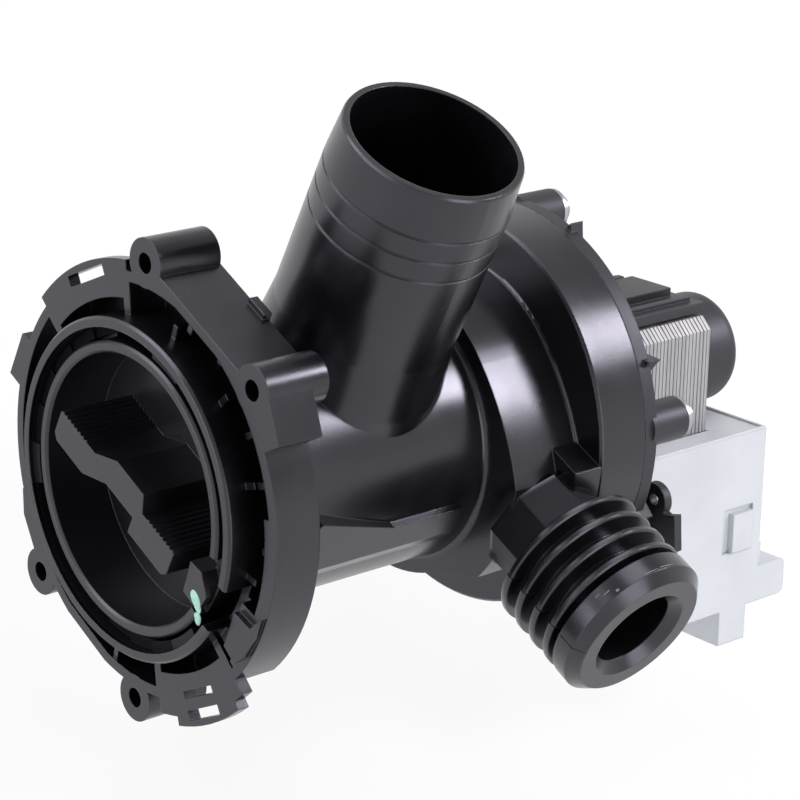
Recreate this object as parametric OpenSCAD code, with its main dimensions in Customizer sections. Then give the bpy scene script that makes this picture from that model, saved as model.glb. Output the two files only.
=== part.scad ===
// Washer drain pump: wet end with twist-out filter, volute, inlet and ribbed outlet,
// driven by a permanent-magnet synchronous motor behind it.
// Y runs along the pump axis from the front flange to the motor, Z points up the inlet pipe
// and X out of the outlet. The origin lies on the pump axis in the plane of the screw bosses.

/* [Front flange] */
// Distance between screw bosses across the flange
boss_pitch_x = 43; // [41:0.5:46]
// Distance between screw bosses up the flange
boss_pitch_z = 97; // [95:0.5:100]
// Radius of a screw boss
boss_r = 5.8; // [5:0.1:6.5]
// Radius of the hole in a screw boss
boss_hole_r = 2.4; // [1.8:0.1:3]
// Depth of the hole in a screw boss
boss_hole_depth = 14; // [10:0.5:15]
// Length of a screw boss
boss_len = 16.5; // [15.5:0.5:20]
// Outer radius of the shroud
shroud_r = 49.9; // [49.5:0.1:51]
// Wall of the shroud
shroud_wall = 2.4; // [1.8:0.1:3]
// Depth of the shroud
shroud_depth = 12; // [10:0.5:13.5]
// Height of the flats at the top and bottom of the shroud
flat_z = 49.2; // [48.4:0.1:49.4]
// Thickness of the two snap pads and of the wall behind the shroud
pad_t = 3; // [2:0.1:3.5]
// Outer radius of the upper snap pad
upper_pad_r = 52.4; // [51:0.1:54]
// Outer radius of the lower snap pad
lower_pad_r = 55.8; // [54.8:0.1:57]
// Thickness of the ribs inside the shroud
rib_t = 1.5; // [1:0.1:2.5]
// How far the tall ends of the ribs lie behind the boss faces
rib_set = 0.6; // [0.3:0.1:3]
// Length of a tall rib end
rib_end = 3.2; // [2:0.1:4]

/* [Filter socket] */
// Inner radius of the filter socket
socket_r = 37.6; // [37:0.1:38.2]
// Wall of the filter socket
socket_wall = 2.4; // [1.8:0.1:2.8]
// How far the socket stands in front of the boss faces
socket_proud = 5; // [4.5:0.1:6]
// Depth of the round part of the socket behind the boss faces
socket_depth = 15; // [14.5:0.1:17]
// Length of the taper between socket and main tube
taper_len = 8; // [6:0.5:10]
// Width of the notch for the filter's pointer
notch_w = 12.4; // [10:0.1:14]
// How far the middle of the notch lies below the pump axis
notch_drop = 0.2; // [0:0.1:1]

/* [Main tube] */
// Outer radius of the main tube
tube_r = 33; // [32:0.1:34]
// Wall of the main tube
tube_wall = 2.5; // [2:0.1:3]
// Distance of the flat pad on the tube's side from the axis
side_pad_x = 34.4; // [34.1:0.1:35.5]

/* [Inlet] */
// Distance of the inlet axis behind the boss faces
inlet_y = 50; // [48:0.5:51]
// Height of the inlet mouth above the pump axis
inlet_top = 91; // [85:0.5:105]
// Outer radius of the inlet pipe
inlet_r = 21.9; // [21.4:0.1:22.3]
// Inner radius of the inlet pipe
inlet_bore_r = 19.4; // [18.5:0.1:19.8]
// How much the inlet narrows towards its mouth
inlet_lead = 0.8; // [0.4:0.1:1.2]
// Depth of the lines around the inlet
inlet_line = 0.3; // [0.2:0.1:0.5]
// Length of the narrowing band below the inlet mouth
inlet_band = 11.5; // [9:0.1:14]
// Distance between the lines around the inlet
inlet_line_pitch = 5.5; // [4:0.1:7]

/* [Volute] */
// Distance of the volute's front face behind the boss faces
volute_y = 76; // [75:0.5:78]
// Depth of the volute in front of the rear rim
volute_depth = 21; // [20:0.5:24]
// Outer radius of the volute
volute_r = 37.7; // [37:0.1:38.5]
// Radius of the volute's widening wall
spiral_r = 67.2; // [60:0.2:75]
// Radius of the volute at the outlet
lobe_r = 43.8; // [42.5:0.1:45]
// Wall of the volute
volute_wall = 2.5; // [2:0.1:3]
// Radius of the suction eye
eye_r = 17; // [14:0.5:20]
// Radius of the fillet between volute and rear rim
volute_fillet = 1; // [0.5:0.1:3]
// Outer radius of the rear rim
rim_r = 50; // [49:0.1:51]
// Length of the rear rim
rim_len = 14.6; // [13.5:0.1:16]
// Bore of the rear rim
rim_bore_r = 41; // [40:0.1:41.5]

/* [Outlet] */
// Height of the outlet axis above the pump axis
outlet_z = 3.3; // [2:0.1:5]
// Distance of the outlet axis behind the volute's front face
outlet_back = 11; // [10.6:0.1:11.8]
// Distance of the outlet neck's root from the pump axis
duct_x = 43.7; // [42.5:0.1:46]
// Half the height of the outlet's root
duct_half = 13.3; // [13:0.1:14]
// Radius of the outlet's neck
neck_r = 13.4; // [12.5:0.1:14]
// Length of the neck up to the first fin
neck_len = 11; // [9:0.5:14]
// Bore of the outlet
outlet_bore_r = 10.2; // [9:0.1:10.4]
// Outer radius of the outlet's fins and collar
fin_r = 19.4; // [18.5:0.1:20]
// Thickness of a fin
fin_t = 1.8; // [1.4:0.1:2.4]
// Distance from fin to fin
fin_pitch = 5.4; // [4.6:0.1:6]
// Number of fins
fin_count = 4; // [3:1:6]
// Length of the round part of the end collar
collar_len = 4.6; // [3:0.1:7]
// Length of the collar's taper
collar_taper = 2.7; // [2:0.1:4]

/* [Filter insert] */
// Gap between the filter cup and the ends of the socket's ramps
cup_gap = 0.9; // [0.6:0.1:1.2]
// Radial engagement of the socket's ramps
ramp_h = 2.4; // [2:0.1:2.6]
// Wall of the filter cup
cup_wall = 2.7; // [2.4:0.1:3]
// Turn that frees the filter, in degrees
filter_turn = 90; // [60:5:90]
// Travel of the filter during that turn
filter_draw = 5; // [3:0.5:5]
// Radius of the seal ring's section
seal_section_r = 1.6; // [1.4:0.1:1.8]
// Thickness of the grip bar
grip_t = 7.8; // [6:0.1:9]
// How far the grip's middle part is set off
grip_offset = 4.4; // [3:0.1:5.5]
// Half the length of the grip bar
grip_half = 24; // [22:0.5:26]
// Distance from ridge to ridge on the grip
ridge_pitch = 1.4; // [1.2:0.1:2]
// Number of bars in the lint cage
cage_bars = 10; // [6:1:14]
// Radius of a bar in the lint cage
cage_bar_r = 1.3; // [1:0.1:1.6]

/* [Rotor and impeller] */
// Radius of the shaft
shaft_r = 2; // [1.5:0.1:2.2]
// Running clearance of the shaft in a bearing
run_gap = 0.05; // [0.02:0.01:0.09]
// Radius of the impeller's vanes
vane_r = 27; // [24:0.5:29]
// Thickness of a vane
vane_t = 1.8; // [1.4:0.1:2.4]
// Number of vanes
vane_count = 8; // [5:1:9]
// Radius of the impeller hub
hub_r = 8.4; // [8:0.1:10]
// Outer radius of the rotor magnet
magnet_r = 12.2; // [11:0.1:12.4]
// Length of the rotor magnet
magnet_len = 28; // [24:0.5:32]
// Radius of the rotor's core
core_r = 5.5; // [4.5:0.1:7]
// Radius of the flange on the rotor's core
core_flange_r = 9; // [8:0.1:10]

/* [Motor] */
// Lean of the motor about the pump axis, in degrees
motor_tilt = 27; // [0:1:40]
// Thickness of the motor cover's flange
cover_t = 4.4; // [4:0.1:6]
// Outer radius of the rotor tunnel
tunnel_r = 14.6; // [14.3:0.1:14.8]
// Wall of the rotor tunnel
tunnel_wall = 1.4; // [1.2:0.1:1.6]
// Radius of the circle of cover screws
screw_circle_r = 45.5; // [45:0.1:46]
// Radius of the bosses for the cover screws
cover_boss_r = 5.3; // [5:0.1:6]
// Length of the bosses for the cover screws
cover_boss_len = 9.8; // [8:0.1:11]
// Radius of a cover screw
cover_screw_r = 1.6; // [1.2:0.1:1.9]
// Width of the lamination stack
stack_w = 40; // [38:0.5:42]
// Thickness of the lamination stack
stack_len = 26; // [22:0.5:28]
// Width of one leg of the stack
leg_w = 12; // [10.5:0.5:13]
// Distance of the coil-carrying legs from the sides of the hood
leg_inset = 8; // [7:0.1:9]
// How far a coil stands out in front of and behind the stack
coil_overhang = 8; // [6:0.1:8]
// Thickness of one lamination
lamination_t = 1.3; // [1:0.1:2]
// Gap between the motor cover and the stack
stack_gap = 23.2; // [23:0.1:28]
// Height of the coil hood
hood_h = 48.6; // [47:0.1:54]
// Width of the coil hood
hood_w = 56; // [54.5:0.5:58]
// Depth of the coil hood along the pump axis
hood_len = 48.5; // [47:0.5:52]
// Wall of the coil hood
hood_wall = 1.8; // [1.4:0.1:2.2]
// Width of a spade terminal
spade_w = 6.3; // [4.8:0.1:6.8]
// Thickness of a spade terminal
spade_t = 0.8; // [0.5:0.1:1]
// How far a spade terminal stands out below the hood
spade_len = 8.5; // [7:0.1:10]

/* [Fits] */
// Gap around pieces that turn or slide past each other
slip_gap = 0.3; // [0.25:0.05:0.4]
// Gap around pieces that are pressed or seated together
seat_gap = 0.05; // [0.03:0.01:0.1]

/* [Hidden] */
$fn = 96;
plastic_black = [0.07, 0.07, 0.08];
plastic_grey = [0.2, 0.2, 0.21];
plastic_white = [0.86, 0.87, 0.89];
rubber_black = [0.04, 0.04, 0.04];
steel = [0.72, 0.72, 0.75];
copper = [0.72, 0.38, 0.2];
ferrite = [0.22, 0.22, 0.24];
brass = [0.78, 0.64, 0.34];
overcut = 1;

// Places on the front flange and in the filter socket
boss_x = boss_pitch_x / 2;
boss_z = boss_pitch_z / 2;
far_r = 70;
pad_in_r = 43.5;
upper_pad_from = 122;
upper_pad_to = 164;
lower_pad_from = -55;
lower_pad_to = -18;
socket_front = -socket_proud;
socket_out_r = socket_r + socket_wall;

// Places along the tube, the volute and the rear rim
tube_y = socket_depth + taper_len;
tube_bore_r = tube_r - tube_wall;
tube_fillet = 1.6;
chamber_y = volute_y + volute_wall;
chamber_r = volute_r - volute_wall;
rim_y = volute_y + volute_depth;
rim_end = rim_y + rim_len;
web_end = rim_y + volute_wall;
edge = 0.6;
inlet_foot = 42;

// Places along the outlet
outlet_y = volute_y + outlet_back;
first_fin_x = duct_x + neck_len;
collar_x = first_fin_x + (fin_count - 1) * fin_pitch + fin_t + 2;
taper_x = collar_x + collar_len;
outlet_end = taper_x + collar_taper;
mouth_flare = 2.4;
fin_edge = 0.4;
root_y = volute_y + 13;
spiral_angle = 68;
lower_wall_angle = -46;
lobe_low = outlet_z - duct_half - 2.4;
spiral_shift = spiral_r - volute_r + 0.06;
root_top = outlet_z + duct_half + 3.9;

// Places in the filter insert
ramp_r = socket_r - ramp_h;
ramp_t = 1.6;
ramp_step = 15;
cup_r = ramp_r - cup_gap;
cup_bore_r = cup_r - cup_wall;
cup_front = socket_front + 0.9;
cup_end = socket_depth - 0.7;
cup_floor_t = 2.5;
rim_gap_depth = 3;
pointer_proud = 1.4;
lug_angles = [25, 145, 265];
lug_half = 7;
lug_y = 3;
lug_t = 2.2;
lug_r = socket_r - 2 * slip_gap;
seal_mid_r = socket_r - slip_gap - seal_section_r;
groove_r = seal_mid_r - seal_section_r - slip_gap;
groove_half = seal_section_r + slip_gap;
gland_wall = 1.2;
seal_y = cup_end - gland_wall - groove_half;
grip_front = socket_front - 2.6;
cage_r = tube_bore_r - 2.5;
cage_end = volute_y - 10;

// Places along the rotor and the impeller
impeller_front = chamber_y + 3;
impeller_back = rim_y - 1;
impeller_disc_t = 2;
cavity_r = hub_r - 2;
cover_seat_r = hub_r - 1.2;
cavity_y = impeller_front + 4.5;
cavity_end = impeller_back - 1.6;
stop_half = 25;
dog_from = 30;
dog_to = 70;
dog_r = shaft_r + 1.8;
bush_r = 4.5;
mount_r = 7;

// Places along the motor
cover_front = web_end + 0.1;
cover_disc_t = 3;
spigot_r = rim_bore_r - slip_gap;
spigot_in_r = rim_bore_r - 6;
flange_y = rim_end + 0.1;
flange_end = flange_y + cover_t;
cap_r = 16;
cap_t = 5;
cap_seat_y = cover_front + cap_t + 0.4;
cover_seal_r = 1.5;
cover_seal_y = (web_end + rim_end) / 2;
cover_seal_mid_r = rim_bore_r - seat_gap - cover_seal_r;
right_screw = 3.8;
boss_end = flange_end + cover_boss_len;
stack_y = flange_end + stack_gap;
stack_end = stack_y + stack_len;
stack_mid = stack_y + stack_len / 2;
stack_top = 15.1;
rotor_bore_r = tunnel_r - tunnel_wall;
tunnel_end = stack_end + 18.5;
tunnel_round = 4;
pocket_y = tunnel_end - 11;
pocket_end = tunnel_end - 3;
pole_in = stack_w / 2 - leg_w;
pole_mid = stack_w / 2 - leg_w / 2;
leg_out = hood_w / 2 - leg_inset;
leg_in = leg_out - leg_w;
leg_mid = leg_out - leg_w / 2;
hood_top = -15.4;
hood_bottom = hood_top - hood_h;
hood_y = stack_y - 8;
hood_end = hood_y + hood_len;
clip_z = hood_bottom + hood_h * 0.335;
clip_h = hood_h * 0.22;
yoke_bottom = hood_bottom + hood_wall + slip_gap;
yoke_top = yoke_bottom + leg_w;
bobbin_wall = 1.2;
bobbin_top = hood_top - hood_wall - slip_gap;
bobbin_bottom = yoke_top + slip_gap;
bobbin_half_x = min(hood_w / 2 - hood_wall - leg_mid - 0.2, leg_mid - 0.5);
bobbin_half_y = stack_len / 2 + coil_overhang;
spade_y = stack_end + 5.5;
spade_places = [-9, 5];

// Puts a shape drawn along Z onto the pump axis
module about_y()
    rotate([-90, 0, 0])
        children();

// Turns a profile of radius and distance about the pump axis
module turned()
    about_y()
        rotate_extrude()
            children();

// Turns a profile about the pump axis from one angle to another
module turned_part(from, to)
    about_y()
        rotate([0, 0, -to])
            rotate_extrude(angle = to - from)
                children();

// Extrudes an outline in X and Z between two places on the pump axis
module slab(from, to)
    translate([0, to, 0])
        rotate([90, 0, 0])
            linear_extrude(to - from)
                children();

// Turns the motor about the pump axis
module motor_frame()
    rotate([0, -motor_tilt, 0])
        children();

// Part of a flat ring
module ring_part(r_in, r_out, from, to)
    intersection() {
        difference() {
            circle(r = r_out);
            circle(r = r_in);
        }
        polygon([
            [0, 0],
            [2 * far_r * cos(from), 2 * far_r * sin(from)],
            [2 * far_r * cos(to), 2 * far_r * sin(to)]
        ]);
    }

// The four boss places
module at_bosses()
    for (x = [-boss_x, boss_x], z = [-boss_z, boss_z])
        translate([x, z])
            children();

// Round shape with flats at the top and bottom
module flattened_round(r, z)
    intersection() {
        circle(r = r);
        square([2 * r + 2, 2 * z], center = true);
    }

module flange_outline() {
    flattened_round(shroud_r, flat_z);
    at_bosses()
        circle(r = boss_r);
    // Corner beside the lower left boss
    polygon([[-boss_x, -boss_z], [-33.4, -40.2], [-36.5, -34.5], [-29, -34]]);
    // Clip tab on the left
    translate([-shroud_r - 3.1, -11.5])
        square([8, 12.5]);
    // Roots of the bosses in the shroud
    for (side = [-1, 1], end = [-1, 1])
        rotate(atan2(end * boss_z, side * boss_x))
            translate([shroud_r - shroud_wall, -1.5])
                square([norm([boss_x, boss_z]) - shroud_r + shroud_wall, 3]);
}

// Flat web under the upper right boss
module boss_web()
    polygon([
        [boss_x, boss_z],
        [boss_x + (boss_r - 0.5) * cos(46), boss_z + (boss_r - 0.5) * sin(46)],
        [34.4, 43.6],
        [29, 36]
    ]);

// Raised block in front of the flange, beside the notch
module guard_outline()
    polygon([
        [socket_out_r + 1.3, 0.6],
        [shroud_r - 2.7, 1.2],
        [shroud_r - 1.1, 5.5],
        [shroud_r - 0.6, -0.5],
        [shroud_r - 1.4, -6.8],
        [shroud_r - 3.1, -10.2],
        [socket_out_r + 2.1, -9.1]
    ]);

// Deep space between the socket and the shroud
module shroud_cavity()
    difference() {
        flattened_round(shroud_r - shroud_wall, flat_z - shroud_wall);
        circle(r = socket_out_r);
        at_bosses()
            circle(r = boss_r);
        ring_part(1, far_r, upper_pad_from - 1, upper_pad_to + 1);
        ring_part(1, far_r, lower_pad_from - 1, lower_pad_to + 1);
        ring_part(1, far_r, -14, 4);
        // Thicker wall on the right
        ring_part(45.8, far_r, -16, 34);
    }

// Opens the space behind and inside a snap pad
module pad_relief(from, to) {
    slab(pad_t, boss_len)
        ring_part(pad_in_r + 1.5, far_r, from + 2, to - 2);
    slab(-overcut, shroud_depth - shroud_wall)
        ring_part(socket_out_r, pad_in_r, from + 2, to - 2);
}

// Window through a snap pad, lying along the pad
module pad_window(angle, r, length, width)
    slab(-overcut, pad_t + overcut)
        rotate(angle)
            translate([r, 0])
                square([width, length], center = true);

module shroud_ribs() {
    for (a = [99, 84, 70, 57, 43, 29, 13, -77, -89, -101, -114, -131, -149, 174])
        rotate([0, -a, 0])
            translate([socket_out_r - 0.6, shroud_depth / 2, -rib_t / 2])
                cube([shroud_r - shroud_wall - socket_out_r + 1.2, shroud_depth / 2 - 1, rib_t]);
    // Taller ends beside the socket and beside the shroud
    for (a = [99, 70, 43, 13, -89, -114])
        rotate([0, -a, 0])
            translate([socket_out_r - 0.6, rib_set, -rib_t / 2])
                cube([rib_end + 0.6, shroud_depth - rib_set - 1, rib_t]);
    for (a = [93, 57, 43, 24, -77, -101])
        rotate([0, -a, 0])
            translate([shroud_r - shroud_wall - rib_end, rib_set, -rib_t / 2])
                cube([rib_end + 0.6, shroud_depth - rib_set - 1, rib_t]);
}

function ramp_rear(k) =
    lug_y - filter_draw * (ramp_step * (k + 1) + lug_half) / filter_turn - 0.4;

// Rising ramps that hold the lugs of the filter
module socket_ramps()
    for (a = lug_angles, k = [-1 : filter_turn / ramp_step - 2])
        turned_part(a + ramp_step * k, a + ramp_step * (k + 1) + 0.2)
            translate([ramp_r, ramp_rear(k) - ramp_t])
                square([ramp_h + 0.4, ramp_t]);

// Outer form of everything turned about the pump axis
module housing_round() {
    turned()
        polygon([
            [0, socket_front],
            [socket_out_r - edge, socket_front],
            [socket_out_r, socket_front + edge],
            [socket_out_r, socket_depth + 1],
            [tube_r, tube_y + 1],
            [tube_r, rim_y],
            [rim_r - edge, rim_y],
            [rim_r, rim_y + edge],
            [rim_r, rim_end],
            [0, rim_end]
        ]);
    // Volute with fillets towards the tube and the rim
    turned()
        concave(tube_r, volute_y, tube_fillet);
    turned()
        concave(volute_r, rim_y, volute_fillet);
    about_spiral()
        turned_part(spiral_angle - 27, spiral_angle)
            concave(spiral_r, rim_y, volute_fillet);
    slab(volute_y, rim_y + overcut)
        volute_outline(0);
}

// Profile of a fillet between a round wall and the face behind it
module concave(r, y, fillet)
    difference() {
        translate([r - 0.5, y - fillet])
            square(fillet + 0.5);
        translate([r + fillet, y - fillet])
            circle(r = fillet);
    }

// Moves a shape to the middle of the volute's widening wall
module about_spiral()
    translate([-spiral_shift * cos(spiral_angle), 0, -spiral_shift * sin(spiral_angle)])
        children();

// Outline of the volute, drawn in by a wall: round, then widening towards the outlet
module volute_outline(wall) {
    r = volute_r - wall;
    root = lobe_low + wall;
    circle(r = r);
    intersection() {
        circle(r = lobe_r - wall);
        translate([-spiral_shift * cos(spiral_angle), -spiral_shift * sin(spiral_angle)])
            circle(r = spiral_r - wall);
        polygon([
            [0, 0],
            [far_r * cos(spiral_angle), far_r * sin(spiral_angle)],
            [far_r, far_r],
            [far_r, root],
            [lobe_r - wall - 1, root],
            [(r - 0.3) * cos(lower_wall_angle), (r - 0.3) * sin(lower_wall_angle)]
        ]);
    }
}

// Puts a shape drawn along Z onto the outlet axis
module about_outlet()
    translate([0, outlet_y, outlet_z])
        rotate([0, 90, 0])
            children();

module outlet_spigot()
    about_outlet() {
        // Eight-sided neck, round between the fins
        translate([0, 0, duct_x - volute_wall])
            linear_extrude(neck_len + volute_wall + fin_t / 2)
                polygon([for (a = [0 : 45 : 315]) (neck_r + 0.5) * [cos(a), sin(a)]]);
        translate([0, 0, first_fin_x])
            cylinder(r = neck_r, h = taper_x - first_fin_x);
        for (k = [0 : fin_count - 1])
            rotate_extrude()
                translate([0, first_fin_x + k * fin_pitch])
                    polygon([
                        [0, 0],
                        [fin_r - fin_edge, 0],
                        [fin_r, fin_edge],
                        [fin_r, fin_t - fin_edge],
                        [fin_r - fin_edge, fin_t],
                        [0, fin_t]
                    ]);
        translate([0, 0, collar_x])
            cylinder(r = fin_r, h = collar_len);
        translate([0, 0, taper_x])
            cylinder(r1 = fin_r, r2 = fin_r - 2.5, h = collar_taper);
    }

// Block that ties the outlet's root to the rear rim
module outlet_root()
    intersection() {
        circle(r = rim_r - 0.2);
        translate([duct_x - 16, outlet_z - duct_half])
            square([30, root_top - outlet_z + duct_half]);
    }

module inlet_spigot() {
    step = inlet_top - inlet_band;
    translate([0, inlet_y, 0])
        rotate_extrude()
            difference() {
                polygon([
                    [0, 20],
                    [inlet_r + 1.4, 20],
                    [inlet_r + 1.4, 28],
                    [inlet_r, inlet_foot],
                    [inlet_r, step],
                    [inlet_r - inlet_lead, inlet_top - edge],
                    [inlet_r - inlet_lead - edge / 2, inlet_top],
                    [0, inlet_top]
                ]);
                for (k = [0 : 2])
                    translate([inlet_r, step - k * inlet_line_pitch])
                        circle(r = inlet_line, $fn = 16);
            }
}

// Flat-sided pad along the right of the main tube
module side_pad() {
    slab(socket_depth, volute_y - 7)
        polygon([
            [20, 5],
            [side_pad_x, 5],
            [side_pad_x, -2.5],
            [25.3, -21.2],
            [15, -20]
        ]);
    translate([20, 0, 0])
        rotate([90, 0, 90])
            linear_extrude(side_pad_x - 20)
                polygon([
                    [socket_depth, 4],
                    [inlet_y - 2, 4],
                    [inlet_y - 2, 5],
                    [socket_depth + 9, 13]
                ]);
}

module housing_hollow() {
    turned()
        polygon([
            [0, socket_front - overcut],
            [socket_r, socket_front - overcut],
            [socket_r, socket_depth],
            [tube_bore_r, tube_y],
            [tube_bore_r, volute_y],
            [eye_r, volute_y],
            [eye_r, web_end],
            [rim_bore_r, web_end],
            [rim_bore_r, rim_end + overcut],
            [0, rim_end + overcut]
        ]);
    slab(chamber_y, rim_y)
        volute_outline(volute_wall);
    slab(chamber_y, web_end + 0.1)
        circle(r = chamber_r);
    about_outlet() {
        translate([0, 0, duct_x - volute_wall - overcut])
            cylinder(r = outlet_bore_r, h = outlet_end - duct_x + volute_wall + 2 * overcut);
        translate([0, 0, outlet_end - mouth_flare])
            cylinder(r1 = outlet_bore_r, r2 = outlet_bore_r + mouth_flare, h = mouth_flare + 0.01);
    }
    translate([0, inlet_y, 0])
        cylinder(r = inlet_bore_r, h = inlet_top + overcut);
    slab(-overcut, shroud_depth - shroud_wall)
        shroud_cavity();
    pad_relief(upper_pad_from, upper_pad_to);
    pad_relief(lower_pad_from, lower_pad_to);
    pad_window(141, 49.3, 14.8, 2.6);
    pad_window(-36.3, lower_pad_r - 2.8, 12.4, 2.4);
    pad_window(-36.3, lower_pad_r - 7.6, 11.6, 1.8);
    // Notch in the socket for the filter's pointer, and the recess beside it
    translate([socket_r - 2, socket_front - overcut, -notch_drop - notch_w / 2])
        cube([socket_wall + 3, socket_proud + overcut + 2.5, notch_w]);
    slab(-overcut, boss_hole_depth)
        at_bosses()
            circle(r = boss_hole_r);
    // Screw holes and weight-saving pockets in the rear rim
    motor_frame()
        at_screws()
            translate([0, 0, rim_y + 1.2])
                cylinder(r = cover_screw_r + seat_gap, h = rim_len);
    for (a = [0 : 90 : 270])
        turned_part(motor_tilt + a + 14, motor_tilt + a + 76)
            translate([rim_bore_r + 2.4, web_end + 0.5])
                square([rim_r - rim_bore_r - 5, rim_len]);
}

// The four places of the cover screws, each with Z along the pump axis
module at_screws()
    for (a = [right_screw, 90, 180, 270])
        rotate([0, -a, 0])
            translate([screw_circle_r, 0, 0])
                about_y()
                    children();

module pump_housing()
    color(plastic_black) {
        difference() {
            union() {
                housing_round();
                slab(0, shroud_depth)
                    flange_outline();
                slab(0, boss_len - 4.5)
                    boss_web();
                slab(-1.6, overcut)
                    guard_outline();
                slab(0, pad_t) {
                    ring_part(pad_in_r, upper_pad_r, upper_pad_from, upper_pad_to);
                    ring_part(pad_in_r, lower_pad_r, lower_pad_from + 7, lower_pad_to - 4);
                    ring_part(pad_in_r, lower_pad_r - 2.2, lower_pad_from, lower_pad_to);
                }
                slab(0, boss_len)
                    at_bosses()
                        circle(r = boss_r);
                // Deeper wall and stop lug along the top
                translate([-boss_x, 0, flat_z - shroud_wall])
                    cube([boss_pitch_x, boss_len + 0.5, shroud_wall]);
                translate([-3, boss_len - 1, flat_z - overcut])
                    cube([6, 2.2, overcut + 1.4]);
                side_pad();
                inlet_spigot();
                slab(root_y, rim_y + overcut)
                    outlet_root();
                outlet_spigot();
            }
            housing_hollow();
        }
        shroud_ribs();
        socket_ramps();
    }

// Outline of the grip bar with its ridges
module grip_outline() {
    half = grip_t / 2;
    ridges = floor((grip_half - 12) / ridge_pitch);
    polygon([
        [-grip_half, 1.5 - half],
        [1.5 - grip_half, -half],
        [-11.3, -half],
        [-2.8, grip_offset - half],
        [8.5, grip_offset - half],
        [8.5, -half],
        [grip_half - 1.5, -half],
        [grip_half, 1.5 - half],
        [grip_half, half],
        [10.9, half],
        [9.3, grip_offset + half],
        [-2, grip_offset + half],
        [-9.6, half],
        [-grip_half, half]
    ]);
    for (side = [-1, 1], k = [0 : ridges - 1])
        translate([side * (grip_half - 0.8 - k * ridge_pitch), half])
            polygon([[-ridge_pitch / 2, -0.3], [ridge_pitch / 2, -0.3], [0, 0.6]]);
}

// Pointer that shows the locked position
module pointer_outline()
    polygon([[27.4, 4.4], [31.7, 4.9], [35.6, 0.9], [34.8, -4.4], [28.6, -3.8], [28.2, 0.5]]);

module filter_cap()
    color(plastic_grey) {
        difference() {
            turned()
                polygon([
                    [0, cup_end - cup_floor_t],
                    [cup_bore_r, cup_end - cup_floor_t],
                    [cup_bore_r, cup_front + edge],
                    [cup_bore_r + edge, cup_front],
                    [cup_r - edge, cup_front],
                    [cup_r, cup_front + edge],
                    [cup_r, seal_y - groove_half - gland_wall],
                    [lug_r, seal_y - groove_half - gland_wall],
                    [lug_r, seal_y - groove_half],
                    [groove_r, seal_y - groove_half],
                    [groove_r, seal_y + groove_half],
                    [lug_r, seal_y + groove_half],
                    [lug_r, cup_end],
                    [0, cup_end]
                ]);
            // Gap in the rim beside the pointer
            slab(cup_front - overcut, cup_front + rim_gap_depth)
                ring_part(cup_bore_r - 2, cup_r + 2, -12, 16);
        }
        for (a = lug_angles)
            turned_part(a - lug_half, a + lug_half)
                translate([cup_r - 0.5, lug_y])
                    square([lug_r - cup_r + 0.5, lug_t]);
        slab(grip_front, cup_end - overcut)
            grip_outline();
        slab(cup_front - pointer_proud, cup_front)
            pointer_outline();
        slab(cup_front - 0.5, cup_front + rim_gap_depth + 1)
            intersection() {
                pointer_outline();
                circle(r = cup_r - 0.3);
            }
    }

module filter_seal()
    color(rubber_black)
        turned()
            translate([seal_mid_r, seal_y])
                circle(r = seal_section_r);

module lint_cage()
    color(plastic_grey) {
        turned()
            translate([cage_r - 5, cup_end + seat_gap])
                square([5, 3]);
        turned()
            translate([cage_r - 3.6, cage_end - 3])
                square([3.6, 3]);
        for (k = [0 : cage_bars - 1])
            rotate([0, k * 360 / cage_bars, 0])
                translate([cage_r - 1.8, cup_end + 2, 0])
                    about_y()
                        cylinder(r = cage_bar_r, h = cage_end - cup_end - 4);
    }

// One curved vane seen along the pump axis
module vane_outline() {
    bend_r = 32;
    intersection() {
        translate([0, -bend_r])
            difference() {
                circle(r = bend_r + vane_t / 2);
                circle(r = bend_r - vane_t / 2);
            }
        difference() {
            circle(r = vane_r);
            circle(r = hub_r - 0.6);
        }
        translate([0, -vane_r])
            square([vane_r, 2 * vane_r]);
    }
}

module impeller()
    color(plastic_grey) {
        difference() {
            union() {
                turned()
                    polygon([
                        [0, impeller_front],
                        [hub_r - 3, impeller_front],
                        [hub_r, impeller_front + 3],
                        [hub_r, impeller_back],
                        [0, impeller_back]
                    ]);
                turned()
                    translate([hub_r - 0.6, impeller_back - impeller_disc_t])
                        square([vane_r - 1 - hub_r, impeller_disc_t]);
                slab(impeller_front + 2.5, impeller_back - 1)
                    for (k = [0 : vane_count - 1])
                        rotate(k * 360 / vane_count)
                            vane_outline();
            }
            turned()
                polygon([
                    [0, impeller_front + 1.5],
                    [shaft_r + run_gap, impeller_front + 1.5],
                    [shaft_r + run_gap, cavity_y],
                    [cavity_r, cavity_y],
                    [cavity_r, cavity_end],
                    [cover_seat_r, cavity_end],
                    [cover_seat_r, impeller_back + overcut],
                    [0, impeller_back + overcut]
                ]);
        }
        // Stop that the drive dog pushes
        turned_part(-stop_half, stop_half)
            translate([dog_r + 0.4, cavity_y - 0.5])
                square([cavity_r - dog_r, cavity_end - cavity_y + 0.5]);
    }

module hub_cover()
    color(plastic_grey)
        turned()
            translate([shaft_r + slip_gap, cavity_end + seat_gap])
                square([cover_seat_r - seat_gap - shaft_r - slip_gap, impeller_back - cavity_end]);

module drive_dog()
    color(plastic_white) {
        turned()
            translate([shaft_r + seat_gap, cavity_y + 0.4])
                square([dog_r - shaft_r - seat_gap, cavity_end - cavity_y - 0.8]);
        turned_part(dog_from, dog_to)
            translate([dog_r - 0.4, cavity_y + 0.4])
                square([cavity_r - dog_r, cavity_end - cavity_y - 0.8]);
    }

module rotor_shaft()
    color(steel)
        turned()
            polygon([
                [0, impeller_front + 2],
                [shaft_r - 0.4, impeller_front + 2],
                [shaft_r, impeller_front + 2.4],
                [shaft_r, pocket_end - 1.2],
                [shaft_r - 0.4, pocket_end - 0.8],
                [0, pocket_end - 0.8]
            ]);

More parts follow.
